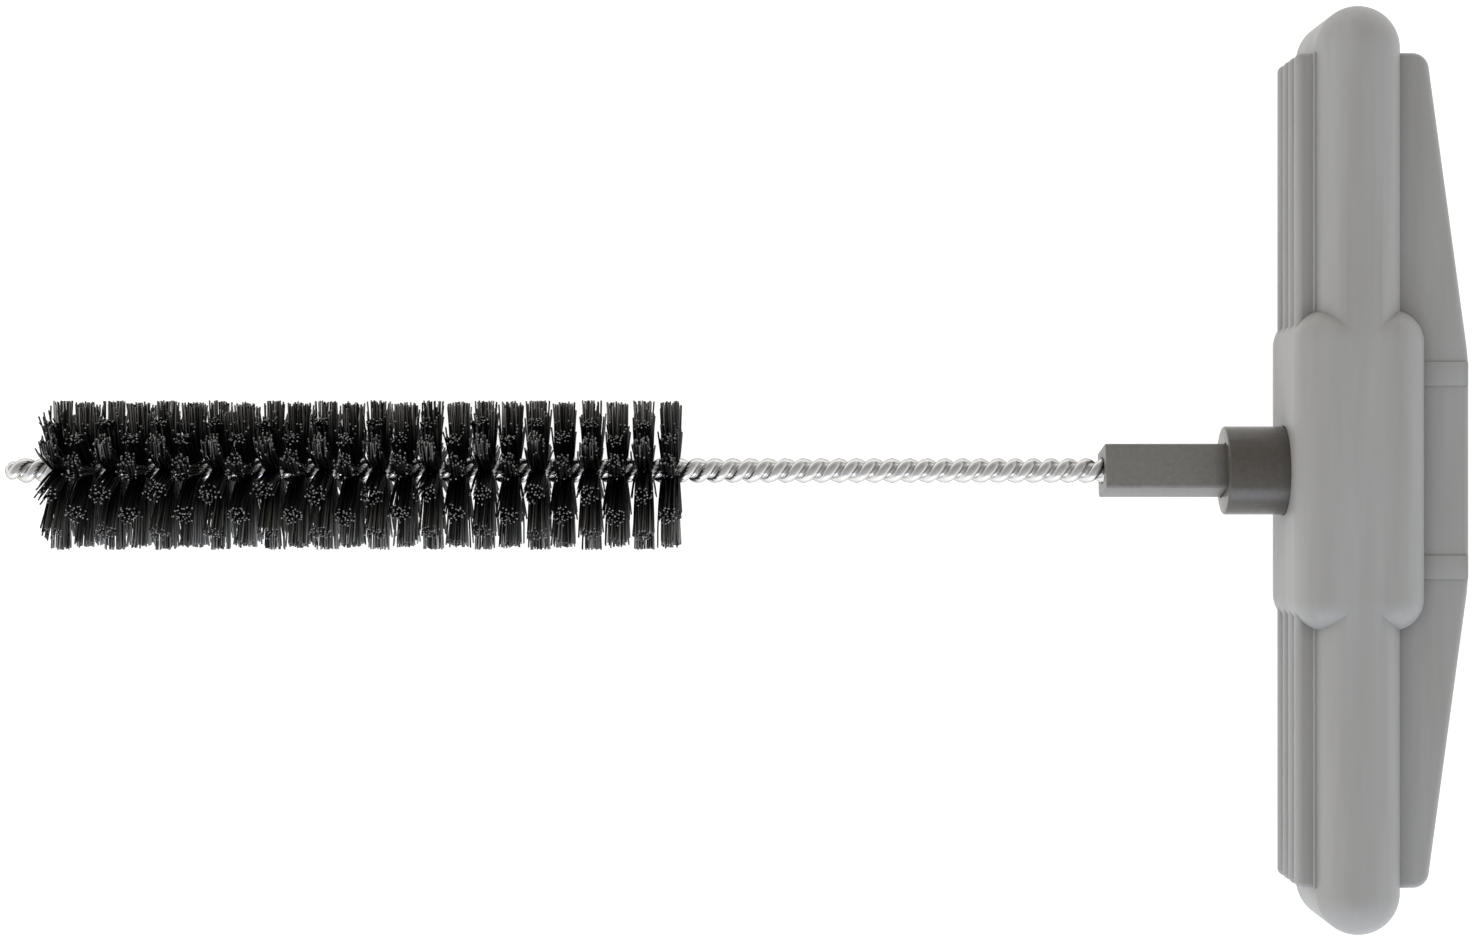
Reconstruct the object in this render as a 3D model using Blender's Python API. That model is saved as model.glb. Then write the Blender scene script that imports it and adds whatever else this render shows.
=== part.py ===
"""Drill hole cleaning brush: a T handle, and a twisted wire brush head that plugs into it.

Metres, +Z up. The tool lies on a table, with the table's surface at Z = 0. The brush axis runs
along X, from the folded tip of the wire at -X to the palm side of the handle at +X. The handle's
bar runs along Y. The origin is the middle of the whole tool's footprint.
"""
from math import asin, atan2, cos, pi, radians, sin, sqrt, tan, tau

import bmesh
import bpy
from mathutils import Matrix, Vector

# Clearance that neighbouring pieces keep
GAP = 0.0003

# Handle, the block in the middle that holds the socket collar
BLOCK_WIDTH = 0.0139
BLOCK_LENGTH = 0.0343
BLOCK_DEPTH = 0.0188
BLOCK_EDGE = 0.0035

# Handle, the round-ended bar, whose half-round faces lie just under the block's
BAR_WIDTH = 0.0090
BAR_LENGTH = 0.0993
BAR_UNDER_BLOCK = 0.00005
BAR_CROWN_RADIUS = 0.0046
BAR_EDGE = 0.0006
BAR_FLAT = 0.0010

# Handle, the thin fins that run along the bar, one behind the other
FIN_COUNT = 4
FIN_PITCH = 0.0033
FIN_THICKNESS = 0.0016
FIN_LENGTH = 0.0894
FIN_FRONT_REACH = 0.00665
FIN_END_REACH = 0.0075
FIN_PALM_REACH = 0.01185
FIN_PALM_LENGTH = 0.0238
FIN_CORNER = 0.0015
FIN_EDGE = 0.0005

# Handle, the two webs that tie the fins together at the palm
WEB_SPACING = 0.0207
WEB_WIDTH = 0.0026
WEB_PROUD = 0.0001

# Socket collar, a round insert with a square socket and a hexagon foot inside the block
COLLAR_WALL = 0.00104
COLLAR_REACH = 0.00654
COLLAR_SEAT = 0.0080
COLLAR_CHAMFER = 0.0002
FOOT_OVERHANG = 0.0005
FOOT_THICKNESS = 0.0025

# Square shank, moulded round the end of the twisted wire
SHANK_SIDE = 0.00495
SHANK_REACH = 0.01301
SHANK_PLUG = 0.0090
SHANK_ROLL = radians(-13.4)
SHANK_EDGE = 0.0004
WIRE_GRIP = 0.0110

# Core wire, one wire folded at the tip and twisted on itself
CORE_DIAMETER = 0.00271
WIRE_DIAMETER = 0.00104
TWIST_PITCH = 0.003843
TIP_LENGTH = 0.0062
NECK_LENGTH = 0.04708

# Bristle rows, each a flat ring of tufts, turned half a tuft from the row before
ROW_COUNT = 24
ROW_PITCH = 0.002877
TUFTS = 10
TRIM_DIAMETER = 0.0163
TRIM_OFFSET = -0.0005
BAND_WIDTH = 0.0013
BAND_WALL = 0.0005
TUFT_SPLAY = 0.00065
STRAND_TAPER = 0.62

# How finely round shapes are divided
ARC_STEPS = 6
EDGE_STEPS = 2
BLOCK_EDGE_STEPS = 4
CROWN_STEPS = 5
ROUND_SIDES = 40
BORE_SIDES = 16
TURN_POINTS = 7
BEND_POINTS = 4

# Places along the brush axis, measured from the middle of the handle's bar
BLOCK_FRONT = -BLOCK_WIDTH / 2
COLLAR_FACE = BLOCK_FRONT - COLLAR_REACH
COLLAR_BACK = BLOCK_FRONT + COLLAR_SEAT
SHANK_END = COLLAR_FACE - SHANK_REACH
SHANK_BACK = COLLAR_FACE + SHANK_PLUG
LAST_ROW = SHANK_END - NECK_LENGTH
FIRST_ROW = LAST_ROW - (ROW_COUNT - 1) * ROW_PITCH
TIP = FIRST_ROW - TIP_LENGTH
PALM = max(FIN_PALM_REACH + WEB_PROUD, BLOCK_WIDTH / 2)

# The handle's middle from the origin, and the brush axis above the table
HANDLE_X = -(TIP + PALM) / 2
AXIS_HEIGHT = BLOCK_DEPTH / 2

# Sizes that follow from the driving ones
CROWN_HEIGHT = BAR_CROWN_RADIUS - sqrt((BAR_CROWN_RADIUS - BAR_EDGE) ** 2
                                       - (BAR_WIDTH / 2 - BAR_EDGE) ** 2)
BAR_SIDE_DEPTH = BLOCK_DEPTH - 2 * (BAR_UNDER_BLOCK + CROWN_HEIGHT)
FIN_STACK = (FIN_COUNT - 1) * FIN_PITCH + FIN_THICKNESS
SOCKET_SIDE = SHANK_SIDE + 2 * GAP
COLLAR_RADIUS = (SOCKET_SIDE / 2 - SHANK_EDGE) * sqrt(2) + SHANK_EDGE + COLLAR_WALL
FOOT_ACROSS_FLATS = 2 * (COLLAR_RADIUS + FOOT_OVERHANG)
CORE_RADIUS = CORE_DIAMETER / 2
WIRE_RADIUS = WIRE_DIAMETER / 2
LEG_OFFSET = CORE_RADIUS - WIRE_RADIUS
TRIM_RADIUS = TRIM_DIAMETER / 2


def material(name, colour, roughness, metallic):
    """A Principled material of one plain colour."""
    made = bpy.data.materials.new(name)
    made.use_nodes = True
    shader = made.node_tree.nodes["Principled BSDF"]
    shader.inputs["Base Color"].default_value = (*colour, 1.0)
    shader.inputs["Roughness"].default_value = roughness
    shader.inputs["Metallic"].default_value = metallic
    made.diffuse_color = (*colour, 1.0)
    return made


def axis_empty(name, x):
    """An empty on the brush axis, which carries the pieces of one half of the tool."""
    empty = bpy.data.objects.new(name, None)
    empty.location = (x, 0.0, AXIS_HEIGHT)
    bpy.context.collection.objects.link(empty)
    return empty


def add_mesh(bm, name, finish):
    """The finished mesh of a shape, its faces pointing out and its round sides smooth."""
    bmesh.ops.recalc_face_normals(bm, faces=bm.faces)
    mesh = bpy.data.meshes.new(name)
    bm.to_mesh(mesh)
    bm.free()
    mesh.materials.append(finish)
    mesh.shade_smooth()
    mesh.set_sharp_from_angle(angle=radians(35))
    return mesh


def add_object(name, data, parent, location=(0.0, 0.0, 0.0), roll=0.0):
    """A named object under one of the axis empties, turned about the brush axis by roll."""
    made = bpy.data.objects.new(name, data)
    made.location = location
    made.rotation_euler = (roll, 0.0, 0.0)
    made.parent = parent
    bpy.context.collection.objects.link(made)
    return made


def combine(target, guide, operation):
    """Adds or cuts a guide's shape with a Boolean, and marks the guide as no piece of the tool."""
    guide.hide_render = True
    guide.display_type = "WIRE"
    step = target.modifiers.new(guide.name, "BOOLEAN")
    step.operation = operation
    step.object = guide


def rounded(corners, radius, steps):
    """The points of a flat outline, with an arc of this radius at each corner."""
    points = []
    for i, corner in enumerate(corners):
        to_last = (corners[i - 1] - corner).normalized()
        to_next = (corners[(i + 1) % len(corners)] - corner).normalized()
        half = to_last.angle(to_next) / 2
        centre = corner + (to_last + to_next).normalized() * radius / sin(half)
        arm = corner + to_last * radius / tan(half) - centre
        turn = pi - 2 * half
        points += [centre + Matrix.Rotation(turn * s / steps, 2) @ arm for s in range(steps + 1)]
    return points


def plate(outline, thickness):
    """A flat plate with this outline, half its thickness on each side of its middle plane."""
    bm = bmesh.new()
    face = bm.faces.new([bm.verts.new((p.x, p.y, -thickness / 2)) for p in outline])
    bmesh.ops.remove_doubles(bm, verts=bm.verts, dist=GAP / 100)
    face = next(iter(bm.faces))
    top = bmesh.ops.extrude_face_region(bm, geom=[face], use_keep_orig=True)["geom"]
    moved = [item for item in top if isinstance(item, bmesh.types.BMVert)]
    bmesh.ops.translate(bm, verts=moved, vec=(0.0, 0.0, thickness))
    bmesh.ops.recalc_face_normals(bm, faces=bm.faces)
    return bm


def rim_edges(bm, height):
    """The edges that run round a plate's two flat faces."""
    return [e for e in bm.edges if abs(abs(e.verts[0].co.z) - height) < GAP / 10
            and abs(e.verts[0].co.z - e.verts[1].co.z) < GAP / 10]


def round_bar(x, length, radius, sides):
    """A bar along X that starts at x, with this many sides."""
    bm = bmesh.new()
    place = Matrix.Translation((x + length / 2, 0.0, 0.0)) @ Matrix.Rotation(pi / 2, 4, "Y")
    bmesh.ops.create_cone(bm, cap_ends=True, segments=sides, radius1=radius, radius2=radius,
                          depth=length, matrix=place)
    return bm


def box(low, high):
    """A box between two corners."""
    bm = bmesh.new()
    size = Vector(high) - Vector(low)
    middle = (Vector(high) + Vector(low)) / 2
    bmesh.ops.create_cube(bm, size=1.0, matrix=Matrix.Translation(middle) @ Matrix.Diagonal((*size, 1.0)))
    return bm


def crown_profile():
    """Steps of (inset, height over the straight side) round the edge and up the crown."""
    half = BAR_WIDTH / 2
    slope = asin((half - BAR_EDGE) / (BAR_CROWN_RADIUS - BAR_EDGE))
    points = []
    for step in range(1, EDGE_STEPS + 1):
        turn = (pi / 2 - slope) * step / EDGE_STEPS
        points.append((BAR_EDGE * (1 - cos(turn)), BAR_EDGE * sin(turn)))
    flat = asin(BAR_FLAT / 2 / BAR_CROWN_RADIUS)
    for step in range(1, CROWN_STEPS + 1):
        turn = slope + (flat - slope) * step / CROWN_STEPS
        drop = BAR_CROWN_RADIUS * (1 - cos(turn))
        points.append((half - BAR_CROWN_RADIUS * sin(turn), CROWN_HEIGHT - drop))
    return points


def bar_mesh(finish):
    """The round-ended bar: straight sides, rounded edges and a crown on both faces."""
    x, y = BAR_WIDTH / 2, BAR_LENGTH / 2
    corners = [Vector(c) for c in ((x, y), (-x, y), (-x, -y), (x, -y))]
    bm = plate(rounded(corners, BAR_WIDTH / 2, ARC_STEPS), BAR_SIDE_DEPTH)
    flat_faces = [f for f in bm.faces if abs(f.normal.z) > 0.5]
    for face in flat_faces:
        inset, height = 0.0, 0.0
        for next_inset, next_height in crown_profile():
            bmesh.ops.inset_region(bm, faces=[face], thickness=next_inset - inset,
                                   depth=next_height - height, use_even_offset=True)
            inset, height = next_inset, next_height
    return add_mesh(bm, "bar", finish)


def block_mesh(finish):
    """The block, with every edge well rounded."""
    x, y, z = BLOCK_WIDTH / 2, BLOCK_LENGTH / 2, BLOCK_DEPTH / 2
    bm = box((-x, -y, -z), (x, y, z))
    bmesh.ops.bevel(bm, geom=bm.edges[:], offset=BLOCK_EDGE, segments=BLOCK_EDGE_STEPS,
                    profile=0.5, affect="EDGES", material=-1)
    return add_mesh(bm, "block", finish)


def fin_mesh(finish):
    """One fin: a straight front edge, and a palm edge that swells in the middle."""
    front, end, palm = -FIN_FRONT_REACH, FIN_END_REACH, FIN_PALM_REACH
    y, flat = FIN_LENGTH / 2, FIN_PALM_LENGTH / 2
    corners = ((end, y), (front, y), (front, -y), (end, -y), (palm, -flat), (palm, flat))
    outline = rounded([Vector(c) for c in corners], FIN_CORNER, EDGE_STEPS)
    bm = plate(outline, FIN_THICKNESS)
    bmesh.ops.bevel(bm, geom=rim_edges(bm, FIN_THICKNESS / 2), offset=FIN_EDGE,
                    segments=EDGE_STEPS, profile=0.5, affect="EDGES", material=-1)
    return add_mesh(bm, "fin", finish)


def build_handle(centre, finish):
    """The handle is one moulding: bar, block, fins and webs in one, with a seat for the collar."""
    handle = add_object("handle_grip", bar_mesh(finish), centre)
    combine(handle, add_object("block", block_mesh(finish), centre), "UNION")
    fin = fin_mesh(finish)
    for i in range(FIN_COUNT):
        z = (i - (FIN_COUNT - 1) / 2) * FIN_PITCH
        combine(handle, add_object(f"fin_{i + 1}", fin, centre, (0.0, 0.0, z)), "UNION")
    top = FIN_STACK / 2 + WEB_PROUD
    web = add_mesh(box((0.0, -WEB_WIDTH / 2, -top), (FIN_PALM_REACH + WEB_PROUD, WEB_WIDTH / 2, top)),
                   "web", finish)
    for i, side in enumerate((-1, 1)):
        guide = add_object(f"web_{i + 1}", web, centre, (0.0, side * WEB_SPACING / 2, 0.0))
        combine(handle, guide, "UNION")
    start = BLOCK_FRONT - COLLAR_RADIUS
    seat = round_bar(start, COLLAR_BACK + GAP - start, COLLAR_RADIUS + GAP, ROUND_SIDES)
    combine(handle, add_object("seat", add_mesh(seat, "seat", finish), centre), "DIFFERENCE")
    foot = hexagon_foot(GAP)
    combine(handle, add_object("foot_seat", add_mesh(foot, "foot_seat", finish), centre), "DIFFERENCE")


def hexagon_foot(room):
    """The collar's hexagon foot, grown by room on every side, with flats towards +Z and -Z."""
    corner_radius = (FOOT_ACROSS_FLATS / 2 + room) / cos(pi / 6)
    start = COLLAR_BACK - FOOT_THICKNESS - room
    return round_bar(start, FOOT_THICKNESS + 2 * room, corner_radius, 6)


def square_bar(start, end, side, edge):
    """A square bar along X with its long edges and ends eased."""
    bm = box((start, -side / 2, -side / 2), (end, side / 2, side / 2))
    bmesh.ops.bevel(bm, geom=bm.edges[:], offset=edge, segments=EDGE_STEPS, profile=0.5,
                    affect="EDGES", material=-1)
    return bm


def build_collar(centre, finish):
    """The round collar: its front stands out of the block, its hexagon foot locks it inside."""
    bm = round_bar(COLLAR_FACE, COLLAR_BACK - COLLAR_FACE, COLLAR_RADIUS, ROUND_SIDES)
    front = [e for e in bm.edges if all(v.co.x < COLLAR_FACE + GAP for v in e.verts)]
    bmesh.ops.bevel(bm, geom=front, offset=COLLAR_CHAMFER, segments=1, profile=0.5,
                    affect="EDGES", material=-1)
    collar = add_object("socket_collar", add_mesh(bm, "socket_collar", finish), centre)
    foot = add_object("foot", add_mesh(hexagon_foot(0.0), "foot", finish), centre)
    combine(collar, foot, "UNION")
    start = COLLAR_FACE - SHANK_SIDE
    socket = square_bar(start, SHANK_BACK + GAP, SOCKET_SIDE, SHANK_EDGE)
    guide = add_object("socket", add_mesh(socket, "socket", finish), centre, roll=SHANK_ROLL)
    combine(collar, guide, "DIFFERENCE")


def build_shank(centre, finish):
    """The square shank, with a blind bore that grips the twisted wire."""
    bm = square_bar(SHANK_END, SHANK_BACK, SHANK_SIDE, SHANK_EDGE)
    shank = add_object("square_shank", add_mesh(bm, "square_shank", finish), centre,
                       roll=SHANK_ROLL)
    start = SHANK_END - CORE_DIAMETER
    bore = round_bar(start, SHANK_END + WIRE_GRIP + GAP - start, CORE_RADIUS + GAP, BORE_SIDES)
    combine(shank, add_object("wire_bore", add_mesh(bore, "wire_bore", finish), centre), "DIFFERENCE")


def leg_points(side):
    """One leg of the wire from the fold to the shank: a left-handed twist, then straight."""
    start = TIP + WIRE_RADIUS + LEG_OFFSET
    length = SHANK_END + CORE_RADIUS - start
    count = round(length / TWIST_PITCH * TURN_POINTS)
    points = []
    for i in range(count + 1):
        angle = tau * length * i / count / TWIST_PITCH
        points.append(Vector((start + length * i / count, side * LEG_OFFSET * sin(angle),
                              side * LEG_OFFSET * cos(angle))))
    end = points[-1].copy()
    end.x = SHANK_END + WIRE_GRIP
    return points + [end]


def fold_points():
    """The bend at the tip, a half circle from the lower leg round to the upper one."""
    centre_x = TIP + WIRE_RADIUS + LEG_OFFSET
    points = []
    for i in range(1, BEND_POINTS):
        angle = pi * i / BEND_POINTS
        points.append(Vector((centre_x - LEG_OFFSET * sin(angle), 0.0, -LEG_OFFSET * cos(angle))))
    return points


def least_gap(one, other, reach):
    """The least distance between two legs' surfaces, measured between points and segments."""
    least = reach
    for point in one:
        for a, b in zip(other, other[1:]):
            if abs(point.x - a.x) > reach:
                continue
            along = b - a
            share = max(0.0, min(1.0, (point - a).dot(along) / along.length_squared))
            least = min(least, (point - a - along * share).length)
    return least - WIRE_DIAMETER


def build_wire(centre, finish):
    """The core: one unbroken wire, out from the shank, round the fold and back."""
    lower, upper = leg_points(-1), leg_points(1)
    curve = bpy.data.curves.new("core_wire", "CURVE")
    curve.dimensions = "3D"
    curve.bevel_depth = WIRE_RADIUS
    curve.bevel_resolution = 1
    curve.use_fill_caps = True
    points = lower[::-1] + fold_points() + upper
    spline = curve.splines.new("POLY")
    spline.points.add(len(points) - 1)
    for spot, point in zip(spline.points, points):
        spot.co = (*point, 1.0)
    curve.materials.append(finish)
    add_object("core_wire", curve, centre)
    gap = least_gap(lower, upper, TWIST_PITCH)
    print(f"core wire: {len(points)} points, least gap between its legs {gap * 1000:.3f} mm")


def trim_reach(angle):
    """How far a strand at this angle from +Z reaches: the tips lie on a circle off the wire's axis."""
    off = TRIM_OFFSET * sin(angle)
    return off + sqrt(off ** 2 - TRIM_OFFSET ** 2 + TRIM_RADIUS ** 2)


def row_mesh(name, first_angle, finish):
    """One row: a band round the wire, with each facet of it drawn out into two bristle strands."""
    inner = (CORE_RADIUS + GAP) / cos(pi / TUFTS)
    outer = inner + BAND_WALL
    bm = bmesh.new()
    loop = [bm.verts.new((x, 0.0, r)) for x, r in
            ((-BAND_WIDTH / 2, inner), (-BAND_WIDTH / 2, outer), (BAND_WIDTH / 2, outer),
             (BAND_WIDTH / 2, inner))]
    edges = [bm.edges.new((loop[i], loop[(i + 1) % 4])) for i in range(4)]
    half_facet = pi / TUFTS
    turn = Matrix.Rotation(-(first_angle - half_facet), 3, "X")
    bmesh.ops.rotate(bm, verts=loop, cent=(0.0, 0.0, 0.0), matrix=turn)
    bmesh.ops.spin(bm, geom=loop + edges, cent=(0.0, 0.0, 0.0), axis=(1.0, 0.0, 0.0),
                   angle=-tau, steps=TUFTS, use_merge=True)
    bmesh.ops.recalc_face_normals(bm, faces=bm.faces)
    middle = (inner + outer) / 2
    facets = [f for f in bm.faces if abs(f.normal.x) < 0.5
              and f.calc_center_median().yz.length > middle * cos(half_facet)]
    facets = bmesh.ops.triangulate(bm, faces=facets, quad_method="FIXED")["faces"]
    roots = [f.calc_center_median() for f in facets]
    strands = bmesh.ops.extrude_discrete_faces(bm, faces=facets)["faces"]
    for strand, root in zip(strands, roots):
        facet_angle = atan2(root.y, root.z)
        lean = TUFT_SPLAY * (1 if root.x > 0 else -1)
        reach = trim_reach(facet_angle)
        tip = Vector((root.x + lean, reach * sin(facet_angle), reach * cos(facet_angle)))
        for vert in strand.verts:
            vert.co = tip + (vert.co - root) * STRAND_TAPER
            vert.co.z = max(vert.co.z, -AXIS_HEIGHT)
    return add_mesh(bm, name, finish)


def build_rows(centre, finish):
    """All the rows of bristles, of two kinds in turn."""
    tuft_step = tau / TUFTS
    kinds = [row_mesh("row_even", 0.0, finish), row_mesh("row_odd", tuft_step / 2, finish)]
    for i in range(ROW_COUNT):
        place = (FIRST_ROW + i * ROW_PITCH, 0.0, 0.0)
        kind = kinds[(ROW_COUNT - 1 - i) % 2]
        add_object(f"bristle_row_{i + 1:02d}", kind, centre, place)


def build():
    """Clears the file and builds the whole tool."""
    for old in list(bpy.data.objects):
        bpy.data.objects.remove(old, do_unlink=True)
    grey = material("grey moulded plastic", (0.30, 0.30, 0.29), 0.55, 0.0)
    dark = material("dark grey moulded collar", (0.085, 0.083, 0.078), 0.45, 0.0)
    iron_grey = material("iron grey moulded shank", (0.13, 0.128, 0.118), 0.45, 0.0)
    zinc = material("galvanised steel wire", (0.62, 0.62, 0.60), 0.30, 1.0)
    black = material("black nylon bristle", (0.012, 0.012, 0.013), 0.45, 0.0)
    handle_half = axis_empty("handle_axis", HANDLE_X)
    brush_half = axis_empty("brush_axis", HANDLE_X)
    build_handle(handle_half, grey)
    build_collar(handle_half, dark)
    build_shank(brush_half, iron_grey)
    build_wire(brush_half, zinc)
    build_rows(brush_half, black)
    print(f"overall {(PALM - TIP) * 1000:.1f} mm, handle middle at x = {HANDLE_X * 1000:.2f} mm")


build()
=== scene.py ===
# %% [markdown]
# # A drill hole cleaning brush
#
# Before an anchor is glued into a wall, its drilled hole is brushed clean of dust. This tool does
# it. It has a grey T handle, a dark collar with a square socket, a square shank that plugs into it,
# and a brush head of twisted wire with stiff black bristles.
#
# The construction model gives every place and size. This script adds the looks: finer shapes in
# place of the faceted solids, and a finish for each material. Lengths are in metres, the tool lies
# on a table at Z = 0, and the brush points along -X.

# %% Load the construction model
import random
from math import asin, atan2, cos, pi, radians, sin, sqrt, tau

import bmesh
import bpy
from mathutils import Matrix, Vector


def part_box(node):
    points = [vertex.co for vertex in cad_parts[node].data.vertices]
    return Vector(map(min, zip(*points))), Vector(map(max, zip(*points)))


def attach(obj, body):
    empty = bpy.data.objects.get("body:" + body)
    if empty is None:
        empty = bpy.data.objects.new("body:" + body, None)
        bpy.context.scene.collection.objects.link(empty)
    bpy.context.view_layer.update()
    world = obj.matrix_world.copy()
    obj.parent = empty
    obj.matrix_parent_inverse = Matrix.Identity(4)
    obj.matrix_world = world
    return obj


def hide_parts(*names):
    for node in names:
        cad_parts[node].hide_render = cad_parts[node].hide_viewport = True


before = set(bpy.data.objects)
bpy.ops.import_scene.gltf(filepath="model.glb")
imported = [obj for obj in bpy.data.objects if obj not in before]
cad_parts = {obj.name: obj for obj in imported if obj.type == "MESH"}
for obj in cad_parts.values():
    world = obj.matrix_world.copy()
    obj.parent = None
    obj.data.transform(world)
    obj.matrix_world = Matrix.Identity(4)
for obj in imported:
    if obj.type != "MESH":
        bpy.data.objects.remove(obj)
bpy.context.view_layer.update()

# %% [markdown]
# ## Where things are
#
# The boxes of the construction model's nodes say where the brush axis lies, where the handle's
# middle is, and where each row of bristles sits on the wire. Sizes that a box can't tell, such as
# the block's width, are written here as they are in the construction model.

# %% Read the places from the frame
collar_low, collar_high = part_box("socket_collar")
shank_low, shank_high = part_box("square_shank")
wire_low, wire_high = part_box("core_wire")

GAP = 0.0003
BLOCK_WIDTH = 0.0139
COLLAR_REACH = 0.00654
SHANK_PLUG = 0.0090

axis_height = (collar_low.z + collar_high.z) / 2
collar_face = collar_low.x
shank_end = shank_low.x
shank_back = shank_high.x
wire_tip = wire_low.x
handle_x = collar_face + COLLAR_REACH + BLOCK_WIDTH / 2
on_axis = Matrix.Translation((0.0, 0.0, axis_height))
at_handle = Matrix.Translation((handle_x, 0.0, axis_height))
row_names = sorted(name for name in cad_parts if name.startswith("bristle_row_"))
row_places = [sum(corner.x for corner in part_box(name)) / 2 for name in row_names]
print("axis height:", round(axis_height * 1000, 2), "handle at:", round(handle_x * 1000, 2))
print("rows:", len(row_names), "from", round(row_places[0] * 1000, 2), "to",
      round(row_places[-1] * 1000, 2))

# %% [markdown]
# ## The camera
#
# The photograph looks straight down on the tool. The lens is so near that the far fins of the
# handle show beside the near ones. How far apart they stand in the picture gives the distance,
# about a third of a metre.

# %% Place the camera
CAMERA_DISTANCE = 0.326
CAMERA_X = 0.00055
SENSOR_WIDTH = 36.0
LENS = 73.3
CLIP_START = 0.01

camera = bpy.data.objects.new("camera", bpy.data.cameras.new("camera"))
camera.data.sensor_width = SENSOR_WIDTH
camera.data.lens = LENS
camera.data.clip_start = CLIP_START
camera.location = (CAMERA_X, 0.0, axis_height + CAMERA_DISTANCE)
bpy.context.scene.collection.objects.link(camera)
bpy.context.scene.camera = camera

# %% [markdown]
# ## Helpers for materials
#
# Colours are written as the hex values that an image editor shows. Blender works with linear
# light, so one function converts them. A second function adds one shader node with its settings,
# values and links, which keeps each material readable as a recipe.


# %% Colour and node helpers
def linear(hex_code):
    """An sRGB colour such as #949491 as linear RGBA."""
    channels = [int(hex_code[i:i + 2], 16) / 255 for i in (1, 3, 5)]
    return (*[c / 12.92 if c <= 0.04045 else ((c + 0.055) / 1.055) ** 2.4 for c in channels], 1.0)


def add_node(tree, kind, settings=None, values=None, links=None):
    """One node with its settings, its sockets' values, and links from other nodes' outputs."""
    node = tree.nodes.new(kind)
    for name, value in (settings or {}).items():
        setattr(node, name, value)
    for socket, value in (values or {}).items():
        node.inputs[socket].default_value = value
    for socket, source in (links or {}).items():
        tree.links.new(source, node.inputs[socket])
    return node


def start_material(name):
    """An empty material with its output node and the piece's own coordinates."""
    made = bpy.data.materials.new(name)
    made.use_nodes = True
    tree = made.node_tree
    tree.nodes.clear()
    output = add_node(tree, "ShaderNodeOutputMaterial")
    place = add_node(tree, "ShaderNodeTexCoord").outputs["Object"]
    return made, tree, output, place


# %% [markdown]
# ## Moulded plastic
#
# The handle is finished as polypropylene from a spark eroded mould. Its fine, even grain breaks up
# highlights into a broad soft sheen. The grain is drawn at 0.3 mm, coarser than on a real mould, so
# that it shows. Faint streaks run along the bar, the way the plastic flowed into the mould. The
# collar and the shank are finished as glass filled nylon, speckled at half a millimetre. Painted
# shade darkens the narrow corners where two forms meet: an ambient occlusion node finds the places
# that are closed in within about a millimetre and a half, and the colour is darkened there.


# %% The plastics
GRAIN = 0.0003
CORNER_REACH = 0.0016
# How dark the painted shade in corners gets.
CORNER_SHADE_LEVEL = 0.62


def moulded_plastic(name, hex_dark, hex_light, roughness, ior, cloud, flow, depth):
    """A moulded plastic: two tones in clouds drawn out along Y, painted shade in its corners, and
    an eroded grain.
    """
    made, tree, output, place = start_material(name)
    drawn_out = add_node(tree, "ShaderNodeMapping", None, {"Scale": (1.0, 1 / flow, 1.0)},
                         {"Vector": place})
    clouds = add_node(tree, "ShaderNodeTexNoise", {"noise_dimensions": "3D"},
                      {"Scale": 1 / cloud, "Detail": 3.0, "Roughness": 0.55},
                      {"Vector": drawn_out.outputs["Vector"]})
    tone = add_node(tree, "ShaderNodeMix", {"data_type": "RGBA"},
                    {"A": linear(hex_dark), "B": linear(hex_light)},
                    {"Factor": clouds.outputs["Fac"]})
    # Painted shade: the colour is darkened in the corners that the ambient occlusion finds.
    corner = add_node(tree, "ShaderNodeAmbientOcclusion", {"samples": 6},
                      {"Distance": CORNER_REACH})
    corner_shade = add_node(tree, "ShaderNodeMapRange", None,
                     {"From Min": 0.4, "From Max": 0.95, "To Min": CORNER_SHADE_LEVEL, "To Max": 1.0},
                     {"Value": corner.outputs["AO"]})
    corner_shaded_tone = add_node(tree, "ShaderNodeVectorMath", {"operation": "SCALE"}, None,
                     {"Vector": tone.outputs["Result"], "Scale": corner_shade.outputs["Result"]})
    erosion = add_node(tree, "ShaderNodeTexNoise", {"noise_dimensions": "3D"},
                       {"Scale": 1 / GRAIN, "Detail": 2.0, "Roughness": 0.6}, {"Vector": place})
    bump = add_node(tree, "ShaderNodeBump", None, {"Strength": 1.0, "Distance": depth},
                    {"Height": erosion.outputs["Fac"]})
    gloss = add_node(tree, "ShaderNodeMapRange", None,
                     {"To Min": roughness - 0.05, "To Max": roughness + 0.05},
                     {"Value": erosion.outputs["Fac"]})
    shader = add_node(tree, "ShaderNodeBsdfPrincipled", None, {"IOR": ior},
                      {"Base Color": corner_shaded_tone.outputs["Vector"], "Roughness": gloss.outputs["Result"],
                       "Normal": bump.outputs["Normal"]})
    tree.links.new(shader.outputs["BSDF"], output.inputs["Surface"])
    return made


grip_plastic = moulded_plastic("moulded polypropylene", "#8F8E8C", "#A5A6A7", roughness=0.43,
                               ior=1.49, cloud=0.0025, flow=12.0, depth=0.000012)
collar_plastic = moulded_plastic("glass filled nylon", "#443F3A", "#56534F", roughness=0.25,
                                 ior=1.53, cloud=0.0005, flow=1.0, depth=0.000010)
shank_plastic = moulded_plastic("iron grey nylon", "#646360", "#7D7C7A", roughness=0.38,
                                ior=1.53, cloud=0.0005, flow=1.0, depth=0.000010)

# %% [markdown]
# ## Galvanised wire
#
# The zinc coat is dull enough to show the bright sides of the room as broad soft streaks, with the
# dim ceiling as a band between them. Zinc is a metal, so metallic is 1 and the colour is that of
# its reflection. The specular tint greys what it reflects at a glancing angle, which draws a soft
# grey outline round each turn.

# %% The wire's finish
DRAWING_MARKS = 0.0008

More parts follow.
